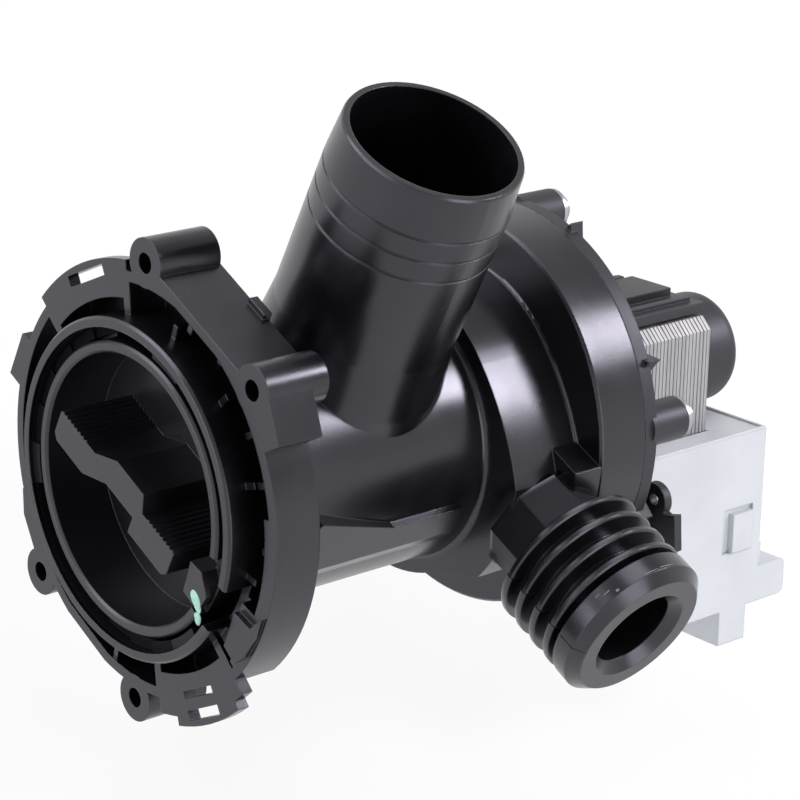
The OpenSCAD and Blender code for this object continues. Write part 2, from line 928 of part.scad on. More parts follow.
module rotor_core()
    color(plastic_white)
        turned()
            polygon([
                [shaft_r + seat_gap, stack_mid - magnet_len / 2 - 1.5],
                [core_flange_r, stack_mid - magnet_len / 2 - 1.5],
                [core_flange_r, stack_mid - magnet_len / 2 - 0.1],
                [core_r, stack_mid - magnet_len / 2 - 0.1],
                [core_r, stack_mid + magnet_len / 2 + 1.5],
                [shaft_r + seat_gap, stack_mid + magnet_len / 2 + 1.5]
            ]);

module rotor_magnet()
    color(ferrite)
        turned()
            translate([core_r + seat_gap, stack_mid - magnet_len / 2])
                square([magnet_r - core_r - seat_gap, magnet_len]);

// Plain bearing bush between two places on the pump axis
module bush(from, to)
    turned()
        translate([shaft_r + run_gap, from])
            square([bush_r - shaft_r - run_gap, to - from]);

// Rubber ring that carries a bearing bush
module bush_mount(from, to)
    turned()
        translate([bush_r + seat_gap, from])
            square([mount_r - bush_r - 2 * seat_gap, to - from]);

module front_bearing()
    color(ferrite)
        bush(cover_front - 1, cap_seat_y + 2);

module front_bearing_mount()
    color(rubber_black)
        bush_mount(cover_front + 0.4, cap_seat_y + 1);

module bearing_cap()
    color(plastic_grey)
        turned()
            translate([mount_r, cover_front + 0.2])
                square([cap_r - mount_r, cap_t]);

module rear_bearing()
    color(ferrite)
        bush(pocket_y - 0.4, pocket_end - 0.6);

module rear_bearing_mount()
    color(rubber_black)
        bush_mount(pocket_y + 0.1, pocket_end - 0.1);

// Round form of the motor cover with the rotor tunnel
module cover_round()
    difference() {
        union() {
            turned()
                translate([0, cover_front])
                    square([spigot_r, cover_disc_t]);
            turned()
                translate([spigot_in_r, cover_front])
                    square([spigot_r - spigot_in_r, flange_end - cover_front]);
            turned()
                polygon([
                    [spigot_in_r, flange_y],
                    [rim_r, flange_y],
                    [rim_r, flange_end - edge],
                    [rim_r - edge, flange_end],
                    [spigot_in_r, flange_end]
                ]);
            turned()
                translate([0, cover_front])
                    square([cap_r + 3, cap_t + 4]);
            turned()
                square_with_round(tunnel_r, cover_front, tunnel_end, tunnel_round);
            // Ribs across the dish behind the cover
            for (a = [22.5 : 45 : 360])
                rotate([0, a, 0])
                    translate([tunnel_r - overcut, cover_front + overcut, -1])
                        cube([spigot_in_r - tunnel_r + 2, flange_end - cover_front - 3, 2]);
        }
        turned()
            polygon([
                [0, cover_front - overcut],
                [cap_r + seat_gap, cover_front - overcut],
                [cap_r + seat_gap, cap_seat_y],
                [rotor_bore_r, cap_seat_y],
                [rotor_bore_r, pocket_y],
                [mount_r, pocket_y],
                [mount_r, pocket_end],
                [0, pocket_end]
            ]);
        turned()
            translate([cover_seal_mid_r - cover_seal_r - seat_gap, cover_seal_y - cover_seal_r - 0.1])
                square([far_r, 2 * cover_seal_r + 0.2]);
    }

// Profile of a rod with a rounded end
module square_with_round(r, from, to, round) {
    translate([0, from])
        square([r, to - from - round]);
    translate([0, to - round - 0.1])
        square([r - round, round + 0.1]);
    intersection() {
        translate([r - round, to - round])
            circle(r = round);
        translate([r - round - 0.1, to - round - 0.1])
            square(round + 0.2);
    }
}

// Cable tab beside the locating boss
module cover_tab()
    slab(flange_end + 4.9, flange_end + 7.3)
        difference() {
            union() {
                polygon([[43, -7], [43, 3], [52.9, 4.2], [55.1, 6.2], [59.9, -1.6], [57, -7]]);
                translate([47.4, 4.4])
                    circle(r = 4.4);
            }
            translate([47.8, 5])
                circle(r = 1.4);
        }

module motor_cover()
    color(plastic_black) {
        cover_tab();
        motor_frame() {
            difference() {
                union() {
                    cover_round();
                    at_screws()
                        translate([0, 0, flange_end - 2])
                            cylinder(r = cover_boss_r, h = cover_boss_len + 2);
                    // Plain locating boss below the right screw
                    rotate([0, 30, 0])
                        translate([screw_circle_r - 0.5, 0, 0])
                            about_y()
                                translate([0, 0, flange_end - 2])
                                    cylinder(r = 4.6, h = 11);
                    // Pointed teeth on the rear edge of the flange
                    slab(flange_end - 2.5, flange_end + 1.5)
                        for (a = [22.5 : 45 : 360])
                            rotate(a)
                                polygon([[rim_r - 4, -3], [rim_r - 4, 3], [rim_r + 2, 0]]);
                }
                at_screws()
                    translate([0, 0, flange_y - overcut])
                        cylinder(r = cover_screw_r + slip_gap, h = cover_t + cover_boss_len + 2);
            }
            cover_saddle();
        }
    }

// Bridge over the lamination stack, with a spine down to the rotor tunnel
module cover_saddle() {
    translate([-16, cap_seat_y + overcut, stack_top + 0.5])
        cube([32, stack_end - cap_seat_y, 2.6]);
    translate([-7, stack_y + 4, stack_top + 3])
        cube([14, stack_len - 6, 2.4]);
    for (x = [-12, 12])
        translate([x - 1, stack_y - 16, stack_top + 3])
            cube([2, stack_len + 15, 1.2]);
    translate([-1.5, cover_front + cap_t + 3, tunnel_r - 0.6])
        cube([3, stack_end - cover_front - cap_t - 3, stack_top - tunnel_r + 1.5]);
}

module cover_seal()
    color(rubber_black)
        turned()
            translate([cover_seal_mid_r, cover_seal_y])
                circle(r = cover_seal_r);

module cover_screws()
    color(steel)
        motor_frame()
            at_screws() {
                translate([0, 0, rim_y + 1.6])
                    cylinder(r = cover_screw_r, h = boss_end - rim_y - 1.5);
                difference() {
                    union() {
                        translate([0, 0, boss_end + 0.05])
                            cylinder(r = cover_boss_r - 0.2, h = 1.2);
                        translate([0, 0, boss_end + 1])
                            cylinder(r = 3.4, h = 2.4);
                    }
                    for (a = [0, 90])
                        rotate([0, 0, a])
                            translate([-2.2, -0.5, boss_end + 2.2])
                                cube([4.4, 1, 2]);
                }
            }

// Outline of a lamination, drawn in by an inset
module lamination_outline(inset) {
    chamfer = 3;
    outer = stack_w / 2 - inset;
    pole_bottom = hood_top + slip_gap;
    difference() {
        union() {
            for (side = [0, 1])
                mirror([side, 0]) {
                    polygon([
                        [pole_in + inset, pole_bottom + inset],
                        [outer, pole_bottom + inset],
                        [outer, stack_top - inset - chamfer],
                        [outer - chamfer, stack_top - inset],
                        [pole_in + inset, stack_top - inset]
                    ]);
                    translate([leg_in + inset, yoke_bottom + inset])
                        square([leg_w - 2 * inset, pole_bottom - yoke_bottom + 2]);
                }
            translate([inset - leg_out, yoke_bottom + inset])
                square([2 * leg_out - 2 * inset, leg_w - 2 * inset]);
        }
        circle(r = tunnel_r + 0.4 + inset);
    }
}

// The places of the rivets through the stack
module at_rivets()
    for (side = [-1, 1]) {
        translate([side * (pole_mid + 1), 9.5])
            children();
        translate([side * (leg_mid + 1), yoke_bottom + leg_w / 2])
            children();
    }

module lamination_stack()
    color(steel)
        motor_frame()
            difference() {
                union() {
                    slab(stack_y, stack_end)
                        lamination_outline(0.25);
                    for (k = [0 : floor(stack_len / lamination_t) - 1])
                        slab(stack_y + k * lamination_t, stack_y + (k + 1) * lamination_t - 0.25)
                            lamination_outline(0);
                }
                slab(stack_y - overcut, stack_end + overcut)
                    at_rivets()
                        circle(r = 1.5 + seat_gap);
            }

module stack_rivets()
    color(steel)
        motor_frame() {
            slab(stack_y - 1, stack_end + 1)
                at_rivets()
                    circle(r = 1.5);
            slab(stack_y - 1.1, stack_y - 0.05)
                at_rivets()
                    circle(r = 2.6);
            slab(stack_end + 0.05, stack_end + 1.1)
                at_rivets()
                    circle(r = 2.6);
        }

// The two legs of the stack that carry coils, each with Z upward through the leg's middle
module at_legs()
    motor_frame()
        for (side = [-1, 1])
            translate([side * leg_mid, stack_mid, 0])
                children();

// Rounded rectangle about the middle
module soft_rectangle(half_x, half_y, r) {
    square([2 * half_x, 2 * half_y - 2 * r], center = true);
    square([2 * half_x - 2 * r, 2 * half_y], center = true);
    for (x = [-1, 1], y = [-1, 1])
        translate([x * (half_x - r), y * (half_y - r)])
            circle(r = r);
}

module coil_bobbins() {
    tube_half_x = leg_w / 2 + slip_gap + bobbin_wall;
    tube_half_y = stack_len / 2 + slip_gap + bobbin_wall;
    color(plastic_white)
        at_legs()
            difference() {
                union() {
                    translate([0, 0, bobbin_bottom])
                        linear_extrude(bobbin_top - bobbin_bottom)
                            square([2 * tube_half_x, 2 * tube_half_y], center = true);
                    for (z = [bobbin_bottom, bobbin_top - bobbin_wall])
                        translate([0, 0, z])
                            linear_extrude(bobbin_wall)
                                square([2 * bobbin_half_x, 2 * bobbin_half_y], center = true);
                }
                translate([0, 0, bobbin_bottom - overcut])
                    linear_extrude(bobbin_top - bobbin_bottom + 2 * overcut)
                        square([leg_w + 2 * slip_gap, stack_len + 2 * slip_gap], center = true);
            }
}

module coil_windings() {
    tube_half_x = leg_w / 2 + slip_gap + bobbin_wall + seat_gap;
    tube_half_y = stack_len / 2 + slip_gap + bobbin_wall + seat_gap;
    color(copper)
        at_legs()
            translate([0, 0, bobbin_bottom + bobbin_wall + seat_gap])
                linear_extrude(bobbin_top - bobbin_bottom - 2 * bobbin_wall - 2 * seat_gap)
                    difference() {
                        soft_rectangle(bobbin_half_x - 0.8, bobbin_half_y - 0.8, 3);
                        square([2 * tube_half_x, 2 * tube_half_y], center = true);
                    }
}

module thermal_fuse()
    color(plastic_white)
        motor_frame()
            translate([leg_mid - 5, stack_mid + bobbin_half_y + 1.3, (bobbin_bottom + bobbin_top) / 2])
                rotate([0, 90, 0])
                    cylinder(r = 2, h = 10);

// Side view of the cable tab, with two rounded corners
module cable_tab_outline() {
    length = 11.5;
    height = 10;
    round = 2;
    square([length - round, height]);
    translate([0, round])
        square([length, height - 2 * round]);
    for (z = [round, height - round])
        translate([length - round, z])
            circle(r = round);
}

module coil_hood()
    color(plastic_white)
        motor_frame() {
            difference() {
                union() {
                    translate([-hood_w / 2, hood_y, hood_bottom])
                        cube([hood_w, hood_len, hood_h]);
                    // Cable tab with a step at the rear, and keying block below
                    translate([hood_w / 2 - 5, hood_end - overcut, hood_bottom + 9])
                        cube([4, overcut + 1.8, 7]);
                    translate([hood_w / 2 - 13, hood_end - overcut, hood_bottom])
                        rotate([90, 0, 90])
                            linear_extrude(13)
                                cable_tab_outline();
                    translate([hood_w / 2 - 13, hood_end - 14, hood_bottom - 9.5])
                        cube([13, 10, 10.5]);
                }
                translate([hood_wall - hood_w / 2, hood_y - overcut, hood_bottom + hood_wall])
                    cube([hood_w - 2 * hood_wall, hood_len - hood_wall + overcut, hood_h - 2 * hood_wall]);
                // Slots for the legs of the stack
                for (side = [-1, 1])
                    translate([side * leg_mid - leg_w / 2 - slip_gap, hood_y - overcut, hood_top - 4])
                        cube([leg_w + 2 * slip_gap, stack_end - hood_y + overcut + slip_gap, 6]);
                // Shallow recess in the right wall
                translate([hood_w / 2 - hood_wall / 2, hood_end - 14.4, clip_z])
                    cube([hood_wall, 11, clip_h + 1.5]);
                // Slots for the terminals
                for (x = spade_places)
                    translate([x - spade_w / 2 - seat_gap, spade_y - spade_t / 2 - seat_gap, hood_bottom - 1])
                        cube([spade_w + 2 * seat_gap, spade_t + 2 * seat_gap, hood_wall + 2]);
            }
            // Clip tongue that stands out of the recess
            translate([hood_w / 2 - hood_wall, hood_end - 11.4, clip_z])
                cube([hood_wall + 0.8, 7.5, clip_h]);
        }

module spade_terminals()
    color(brass)
        motor_frame()
            slab(spade_y - spade_t / 2, spade_y + spade_t / 2)
                for (x = spade_places)
                    translate([x, hood_bottom])
                        difference() {
                            polygon([
                                [-spade_w / 2, 6],
                                [-spade_w / 2, 1.5 - spade_len],
                                [-spade_w / 2 + 1, -spade_len],
                                [spade_w / 2 - 1, -spade_len],
                                [spade_w / 2, 1.5 - spade_len],
                                [spade_w / 2, 6]
                            ]);
                            translate([0, 3.5 - spade_len])
                                circle(r = 0.9);
                        }

pump_housing();
filter_cap();
filter_seal();
lint_cage();
impeller();
hub_cover();
drive_dog();
rotor_shaft();
rotor_core();
rotor_magnet();
front_bearing();
front_bearing_mount();
bearing_cap();
rear_bearing();
rear_bearing_mount();
motor_cover();
cover_seal();
cover_screws();
lamination_stack();
stack_rivets();
coil_bobbins();
coil_windings();
thermal_fuse();
coil_hood();
spade_terminals();
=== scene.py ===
# %% [markdown]
# # A washer drain pump, dressed for its portrait
# The solids of the pump come ready made: housing, filter, motor, coil hood and all that sits inside.
# This lesson gives them a camera, a studio and finishes, and adds a low lip on the coil hood and the
# small marks that a mould and an assembly line leave behind. Everything is in metres, in the frame
# of the solids: Y runs along the pump axis towards the motor, Z up the inlet pipe and X out of the
# outlet.

# %% Load the solids
import math

import bmesh
import bpy
from mathutils import Matrix, Vector


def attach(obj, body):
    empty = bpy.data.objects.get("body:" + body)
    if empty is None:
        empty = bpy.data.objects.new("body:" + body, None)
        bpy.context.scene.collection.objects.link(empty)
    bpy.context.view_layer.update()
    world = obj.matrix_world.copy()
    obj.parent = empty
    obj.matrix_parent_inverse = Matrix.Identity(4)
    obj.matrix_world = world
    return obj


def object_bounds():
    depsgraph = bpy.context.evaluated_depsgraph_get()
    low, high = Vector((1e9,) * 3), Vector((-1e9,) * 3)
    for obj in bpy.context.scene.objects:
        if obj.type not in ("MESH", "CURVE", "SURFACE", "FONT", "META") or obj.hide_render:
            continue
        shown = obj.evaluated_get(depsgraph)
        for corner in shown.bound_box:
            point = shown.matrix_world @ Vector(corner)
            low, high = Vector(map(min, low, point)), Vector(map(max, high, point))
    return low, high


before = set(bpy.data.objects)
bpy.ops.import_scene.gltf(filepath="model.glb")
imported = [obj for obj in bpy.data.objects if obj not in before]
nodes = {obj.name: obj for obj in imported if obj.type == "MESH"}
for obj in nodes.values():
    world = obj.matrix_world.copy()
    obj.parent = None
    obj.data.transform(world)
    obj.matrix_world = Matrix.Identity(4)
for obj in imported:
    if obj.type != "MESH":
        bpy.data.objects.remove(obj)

cad_box = [list(corner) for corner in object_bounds()]
print("solids:", len(nodes), "box:", [[round(v, 4) for v in corner] for corner in cad_box])

# %% [markdown]
# ## The camera
# The pump was photographed from the front right and from above, with the camera rolled a little.
# A camera could be aimed with a Track To constraint, but a roll is easier to state as a matrix:
# its three columns are the directions to the right, up and back towards the viewer.

# %% Camera
VIEW_RIGHT = Vector((0.57186, 0.75846, 0.31256))
VIEW_UP = Vector((-0.65224, 0.18929, 0.73400))
VIEW_BACK = Vector((0.49755, -0.62362, 0.60295))
VIEW_POINT = Vector((0.33686, -0.34771, 0.41575))
LENS_MM = 126.4
SENSOR_MM = 36

scene = bpy.context.scene
camera_data = bpy.data.cameras.new("camera")
camera_data.lens = LENS_MM
camera_data.sensor_width = SENSOR_MM
camera = bpy.data.objects.new("camera", camera_data)
scene.collection.objects.link(camera)
turn = Matrix((VIEW_RIGHT, VIEW_UP, VIEW_BACK)).transposed()
camera.matrix_world = Matrix.Translation(VIEW_POINT) @ turn.to_4x4()
scene.camera = camera
scene.view_settings.view_transform = "Standard"
print("camera stands", round(VIEW_POINT.length, 3), "m from the origin")

# %% [markdown]
# ## The studio
# Black plastic shows little colour of its own: what the eye reads is the room mirrored in it.
# So the room is a pale table and a white surround, with large soft lamps for the bright streaks.
# Room and finishes are both networks of nodes. Nodes could be joined one by one, but a few helpers
# that return sockets let a network be written from the inside out, like a sum.

# %% Node helpers
NOISE_START = 0.3
NOISE_STOP = 0.7


def feed(node, inputs):
    """Sets the sockets of a node to values, or joins them to other sockets."""
    for key, value in inputs.items():
        if isinstance(value, bpy.types.NodeSocket):
            node.id_data.links.new(value, node.inputs[key])
        else:
            node.inputs[key].default_value = value


def add_node(tree, kind, inputs=None, **settings):
    """A new node with its settings, and its sockets fed."""
    node = tree.nodes.new(kind)
    for name, value in settings.items():
        setattr(node, name, value)
    feed(node, inputs or {})
    return node


def math_node(tree, operation, first, second=0.0):
    """The result socket of one sum."""
    return add_node(tree, "ShaderNodeMath", {0: first, 1: second}, operation=operation).outputs[0]


def spread(tree, value, low, high, start=NOISE_START, stop=NOISE_STOP):
    """A value that runs from low to high while another runs from start to stop, as noise does."""
    return add_node(
        tree, "ShaderNodeMapRange", {0: value, 1: start, 2: stop, 3: low, 4: high}
    ).outputs[0]


def seen_or_mirrored(tree):
    """1 for rays from the camera, a mirror or a glass, and 0 for the light that falls on things."""
    rays = add_node(tree, "ShaderNodeLightPath")
    seen = math_node(tree, "MAXIMUM", rays.outputs["Is Camera Ray"], rays.outputs["Is Glossy Ray"])
    return math_node(tree, "MAXIMUM", seen, rays.outputs["Is Transmission Ray"])


# %% [markdown]
# ### The surround
# A white world would flood the object with light, so the surround is white to the camera and to
# mirrored rays only. It darkens overhead, as a ceiling does. The Incoming vector of a world runs
# from the sky to the eye, so its Z is most negative straight overhead.

# %% Surround
WHITE = (1, 1, 1, 1)
SKY_FILL = 0.42
SKY_TOP = 0.5
CEILING_INNER = -0.65
CEILING_OUTER = -0.30

world = bpy.data.worlds.new("studio")
scene.world = world
world.use_nodes = True
sky = world.node_tree
towards_eye = add_node(sky, "ShaderNodeNewGeometry").outputs["Incoming"]
drop = add_node(sky, "ShaderNodeSeparateXYZ", {0: towards_eye}).outputs["Z"]
ceiling = spread(sky, drop, SKY_TOP, 1.0, CEILING_INNER, CEILING_OUTER)
sky_strength = spread(sky, seen_or_mirrored(sky), SKY_FILL, ceiling, 0, 1)
feed(sky.nodes["Background"], {"Color": WHITE, "Strength": sky_strength})
print("surround:", world.name, "with a fill of", SKY_FILL)

# %% [markdown]
# ### The table
# The pump stands clear of a pale table. The table glows to the camera and to mirrored rays, which
# keeps the picture white to its edges, and a share of plain paint is left in to carry the shadow.

# %% Table
TABLE_DROP = 0.012
TABLE_REACH = 4
TABLE_TONE = (0.9, 0.9, 0.9, 1)
SHADOW_SHARE = 0.12

table_height = cad_box[0][2] - TABLE_DROP
table_mesh = bpy.data.meshes.new("table")
shape = bmesh.new()
bmesh.ops.create_grid(shape, x_segments=1, y_segments=1, size=TABLE_REACH)
bmesh.ops.translate(shape, vec=(0, 0, table_height), verts=shape.verts)
shape.to_mesh(table_mesh)
shape.free()
table = bpy.data.objects.new("table", table_mesh)
scene.collection.objects.link(table)

table_paint = bpy.data.materials.new("table_paint")
table_paint.use_nodes = True
tree = table_paint.node_tree
paint = tree.nodes["Principled BSDF"]
feed(paint, {"Base Color": TABLE_TONE, "Roughness": 0.7})
glow = add_node(tree, "ShaderNodeEmission", {"Color": WHITE, "Strength": 1.0})
glow_share = math_node(tree, "MULTIPLY", seen_or_mirrored(tree), 1 - SHADOW_SHARE)
mixed = add_node(
    tree, "ShaderNodeMixShader", {0: glow_share, 1: paint.outputs[0], 2: glow.outputs[0]}
)
feed(tree.nodes["Material Output"], {"Surface": mixed.outputs[0]})
table_mesh.materials.append(table_paint)
print("table at", round(table_height, 4))

# %% [markdown]
# ### The lamps
# A sun would draw one hard line on each round part. Area lamps are mirrored as broad soft streaks
# instead: one stands behind the pump, one on each side, one in front of the flange and a weak one
# overhead. A faint tint gives the black plastic its cool purple greys.

# %% Lamps
PUMP_MIDDLE = Vector((0.0, 0.08, 0.0))
LAMP_TINT = (1.0, 0.94, 1.0)
LAMPS = [
    # name, place, width and height, watts
    ("back_lamp", (0.36, 0.90, 0.92), (0.40, 0.36), 8),
    ("right_lamp", (1.1, 0.15, 0.5), (0.6, 0.9), 5),
    ("left_lamp", (-0.9, -0.75, 0.55), (0.7, 0.9), 7),
    ("front_lamp", (-0.15, -1.1, 0.15), (0.9, 0.5), 5),
    ("top_lamp", (-0.55, 0.25, 1.1), (0.7, 0.7), 4),
]


def soft_lamp(name, place, size, watts):
    """A rectangular soft box at a place, aimed at the middle of the pump."""
    light = bpy.data.lights.new(name, "AREA")
    light.shape = "RECTANGLE"
    light.size, light.size_y = size
    light.energy = watts
    light.color = LAMP_TINT
    aim = PUMP_MIDDLE - Vector(place)
    turn = aim.to_track_quat("-Z", "Y").to_matrix().to_4x4()
    lamp = bpy.data.objects.new(name, light)
    lamp.matrix_world = Matrix.Translation(place) @ turn
    scene.collection.objects.link(lamp)
    print(name, "of", watts, "W")


for lamp_values in LAMPS:
    soft_lamp(*lamp_values)

# %% [markdown]
# ## Finishes
# Each finish is a small network of nodes that reads Object coordinates, in metres. A slow noise
# changes tone and gloss from place to place, a fine noise gives the skin of the mould, and the
# Bevel node rounds the hard edges of the solids, so that they catch a thin line of light.

# %% Shared parts of a finish
def start_finish(name):
    """A new material, its tree, its Principled shader and the Object coordinates."""
    material = bpy.data.materials.new(name)
    material.use_nodes = True
    tree = material.node_tree
    coords = add_node(tree, "ShaderNodeTexCoord").outputs["Object"]
    return material, tree, tree.nodes["Principled BSDF"], coords


def noise(tree, coords, scale, detail=3.0, roughness=0.5):
    """A noise value between 0 and 1, with about `scale` patches to the metre."""
    node = add_node(
        tree,
        "ShaderNodeTexNoise",
        {"Vector": coords, "Scale": scale, "Detail": detail, "Roughness": roughness},
    )
    return node.outputs["Fac"]


def skin(tree, height, normal, depth, strength=0.3):
    """A bump of a given depth in metres, laid over a normal."""
    node = add_node(
        tree,
        "ShaderNodeBump",
        {"Height": height, "Normal": normal, "Distance": depth, "Strength": strength},
    )
    return node.outputs[0]


def put_on(material, *names):
    """Gives a finish to solids, in place of the plain one they came with."""
    for name in names:
        mesh = nodes[name].data
        mesh.materials.clear()
        mesh.materials.append(material)
    print(material.name, "on", ", ".join(names))


# %% [markdown]
# ### Colours
# Every finish runs between two tones. A Color Ramp could hold both, but a Mix node also takes a
# tone from another node. It has sockets of one name for numbers, vectors and colours, so those for
# colours are found by their place in the list.

# %% Colours
MIX_FIRST = 6
MIX_SECOND = 7
MIX_RESULT = 2


def blend_colours(tree, factor, first, second):
    """A colour between two, each three values or a socket."""
    inputs = {"Factor": factor}
    for place, colour in ((MIX_FIRST, first), (MIX_SECOND, second)):
        is_socket = isinstance(colour, bpy.types.NodeSocket)
        inputs[place] = colour if is_socket else (*colour, 1)
    node = add_node(tree, "ShaderNodeMix", inputs, data_type="RGBA", clamp_factor=True)
    return node.outputs[MIX_RESULT]


def two_tone(shader, pattern, low, high, rough):
    """Lets a noise run the colour from low to high, and the roughness over its range."""
    tree = shader.id_data
    tone = blend_colours(tree, spread(tree, pattern, 0, 1), low, high)
    feed(shader, {"Base Color": tone, "Roughness": spread(tree, pattern, *rough)})


# %% [markdown]
# ### Edges
# No moulded or stamped edge is perfectly sharp. A Bevel modifier would change the solids, so the
# Bevel node bends only the normals. Where the bent normal leans away from the modelled one there
# is an edge, and the cosine between the two tells how near it is.

# %% Edges
BEVEL_SAMPLES = 4
EDGE_COSINE = 0.80
FLAT_COSINE = 0.985


def modelled_normal(tree):
    """The normal of the surface as it was modelled."""
    return add_node(tree, "ShaderNodeNewGeometry").outputs["Normal"]


def rounded_normal(tree, radius):
    """The normal with the hard edges rounded."""
    return add_node(tree, "ShaderNodeBevel", {"Radius": radius}, samples=BEVEL_SAMPLES).outputs[0]


def along_edges(tree, rounded):
    """1 along the edges of a rounded normal, and 0 on flat ground."""
    lean = add_node(
        tree, "ShaderNodeVectorMath", {0: rounded, 1: modelled_normal(tree)}, operation="DOT_PRODUCT"
    )
    return spread(tree, lean.outputs["Value"], 1.0, 0.0, EDGE_COSINE, FLAT_COSINE)


# %% [markdown]
# ### Painted shade on the housing
# Deep in the filter socket and on the outlet's neck the housing is darkened as painted shade: a mask
# lowers its reflection and raises its roughness there. Such places could be cut off as pieces of
# their own, but the surface is one. So they are found by their distance from an axis, which is the
# length of the coordinates once one of them is struck out.

# %% Painted shade places
PUMP_CENTRE = (0, 0, 0)
ACROSS_PUMP = (1, 0, 1)
SOCKET_RADIUS = 0.0377
RAMP_RADIUS = 0.0350
SOCKET_LIP = -0.0034
SOCKET_FLOOR = 0.0150
SOCKET_WALL_FADE = 0.0002
SOCKET_END_FADE = 0.0006
OUTLET_CENTRE = Vector((0, 0.087, 0.0033))
ACROSS_OUTLET = (0, 1, 1)
NECK_RADIUS = 0.0141
NECK_START = 0.0425
NECK_END = 0.0545
NECK_WALL_FADE = 0.0003
NECK_END_FADE = 0.0010
NECK_SHADE_SHARE = 0.6


def between(tree, value, low, high, fade):
    """1 where a value lies between two others, falling to 0 outside them."""
    rising = spread(tree, value, 0, 1, low - fade, low)
    falling = spread(tree, value, 1, 0, high, high + fade)
    return math_node(tree, "MULTIPLY", rising, falling)


def from_axis(tree, coords, centre, across):
    """The distance from an axis; across has a 1 for each direction that counts."""
    moved = add_node(tree, "ShaderNodeVectorMath", {0: coords, 1: centre}, operation="SUBTRACT")
    flat = add_node(
        tree, "ShaderNodeVectorMath", {0: moved.outputs[0], 1: across}, operation="MULTIPLY"
    )
    length = add_node(tree, "ShaderNodeVectorMath", {0: flat.outputs[0]}, operation="LENGTH")
    return length.outputs["Value"]


def painted_shade_places(tree, coords):
    """Painted shade: 1 on the wall and ramps of the filter socket, less on the outlet's neck, 0
    elsewhere.
    """
    places = add_node(tree, "ShaderNodeSeparateXYZ", {0: coords}).outputs
    pump_radius = from_axis(tree, coords, PUMP_CENTRE, ACROSS_PUMP)
    ring = between(tree, pump_radius, RAMP_RADIUS, SOCKET_RADIUS, SOCKET_WALL_FADE)
    depth = between(tree, places["Y"], SOCKET_LIP, SOCKET_FLOOR, SOCKET_END_FADE)
    socket = math_node(tree, "MULTIPLY", ring, depth)
    outlet_radius = from_axis(tree, coords, OUTLET_CENTRE, ACROSS_OUTLET)
    around = between(tree, outlet_radius, 0, NECK_RADIUS, NECK_WALL_FADE)
    along = between(tree, places["X"], NECK_START, NECK_END, NECK_END_FADE)
    neck = math_node(tree, "MULTIPLY", math_node(tree, "MULTIPLY", around, along), NECK_SHADE_SHARE)
    return math_node(tree, "MAXIMUM", socket, neck)


# %% [markdown]
# ### Black mouldings
# The housing, motor cover and filter are glass-filled plastic in satin black. The mould leaves a
# fine skin, faint flow clouds change the gloss, and handling rubs the edges a shade lighter. One
# flat black would look like a hole in the picture, so all three are built into the finish.

# %% Black mouldings
CLOUDS_PER_METRE = 45
RUBS_PER_METRE = 700
RUB_MOST = 0.5
RUBBED_TONE = (0.06, 0.06, 0.064)
GRAIN_PER_METRE = 2600
GRAIN_DEPTH = 0.00004
SHADE_ROUGHNESS = 0.5
PLAIN_SHINE = 0.5
SHADE_SHINE = 0.08
BLACK_TINT = (0.86, 0.88, 1.0, 1)


def black_moulding(name, dark, pale, rough, edge_radius, with_painted_shade=False):
    """Satin black with clouds, rubbed edges and a fine skin; rough is the range of roughness."""
    material, tree, shader, coords = start_finish(name)
    clouds = noise(tree, coords, CLOUDS_PER_METRE, detail=4)
    normal = rounded_normal(tree, edge_radius)
    rubs = spread(tree, noise(tree, coords, RUBS_PER_METRE), 0.0, RUB_MOST)
    rubbed_edges = math_node(tree, "MULTIPLY", along_edges(tree, normal), rubs)
    tone = blend_colours(tree, spread(tree, clouds, 0, 1), dark, pale)
    tone = blend_colours(tree, rubbed_edges, tone, RUBBED_TONE)
    roughness = spread(tree, clouds, *rough)
    # Painted shade: in the socket and on the neck the reflection is lowered and the roughness
    # raised.
    if with_painted_shade:
        shade_mask = painted_shade_places(tree, coords)
        added = math_node(tree, "MULTIPLY", shade_mask, SHADE_ROUGHNESS)
        roughness = math_node(tree, "ADD", roughness, added)
        feed(shader, {"Specular IOR Level": spread(tree, shade_mask, PLAIN_SHINE, SHADE_SHINE, 0, 1)})
    feed(shader, {"Base Color": tone, "Roughness": roughness})
    grain = noise(tree, coords, GRAIN_PER_METRE, detail=2)
    feed(shader, {"Normal": skin(tree, grain, normal, GRAIN_DEPTH)})
    feed(shader, {"IOR": 1.65, "Specular Tint": BLACK_TINT})
    return material


housing_black = black_moulding(
    "housing_black",
    dark=(0.0028, 0.0026, 0.0033),
    pale=(0.0052, 0.0049, 0.0060),
    rough=(0.19, 0.30),
    edge_radius=0.0004,
    # painted shade in the filter socket and on the outlet's neck
    with_painted_shade=True,
)
put_on(housing_black, "pump_housing")
cover_black = black_moulding(
    "cover_black",
    dark=(0.0030, 0.0028, 0.0034),
    pale=(0.0055, 0.0052, 0.0062),
    rough=(0.43, 0.54),
    edge_radius=0.0005,
)
put_on(cover_black, "motor_cover", "bearing_cap")
filter_black = black_moulding(
    "filter_black",
    dark=(0.0032, 0.0031, 0.0037),
    pale=(0.0060, 0.0058, 0.0066),
    rough=(0.29, 0.40),
    edge_radius=0.0004,
)
put_on(filter_black, "filter_cap", "lint_cage")

# %% [markdown]
# ### White and grey mouldings
# The coil hood is a cool white moulding, the bobbins inside are the warmer natural plastic and the
# impeller is dark grey. Pale plastic scatters light under its surface, so a rubbed edge hardly
# shows on it, and clouds and skin are enough.

# %% White and grey mouldings
PLAIN_CLOUDS_PER_METRE = 60
PLAIN_GRAIN_PER_METRE = 1900
HOOD_TONES = (0.58, 0.62, 0.65), (0.64, 0.68, 0.705)
HOOD_ROUGH = (0.38, 0.47)


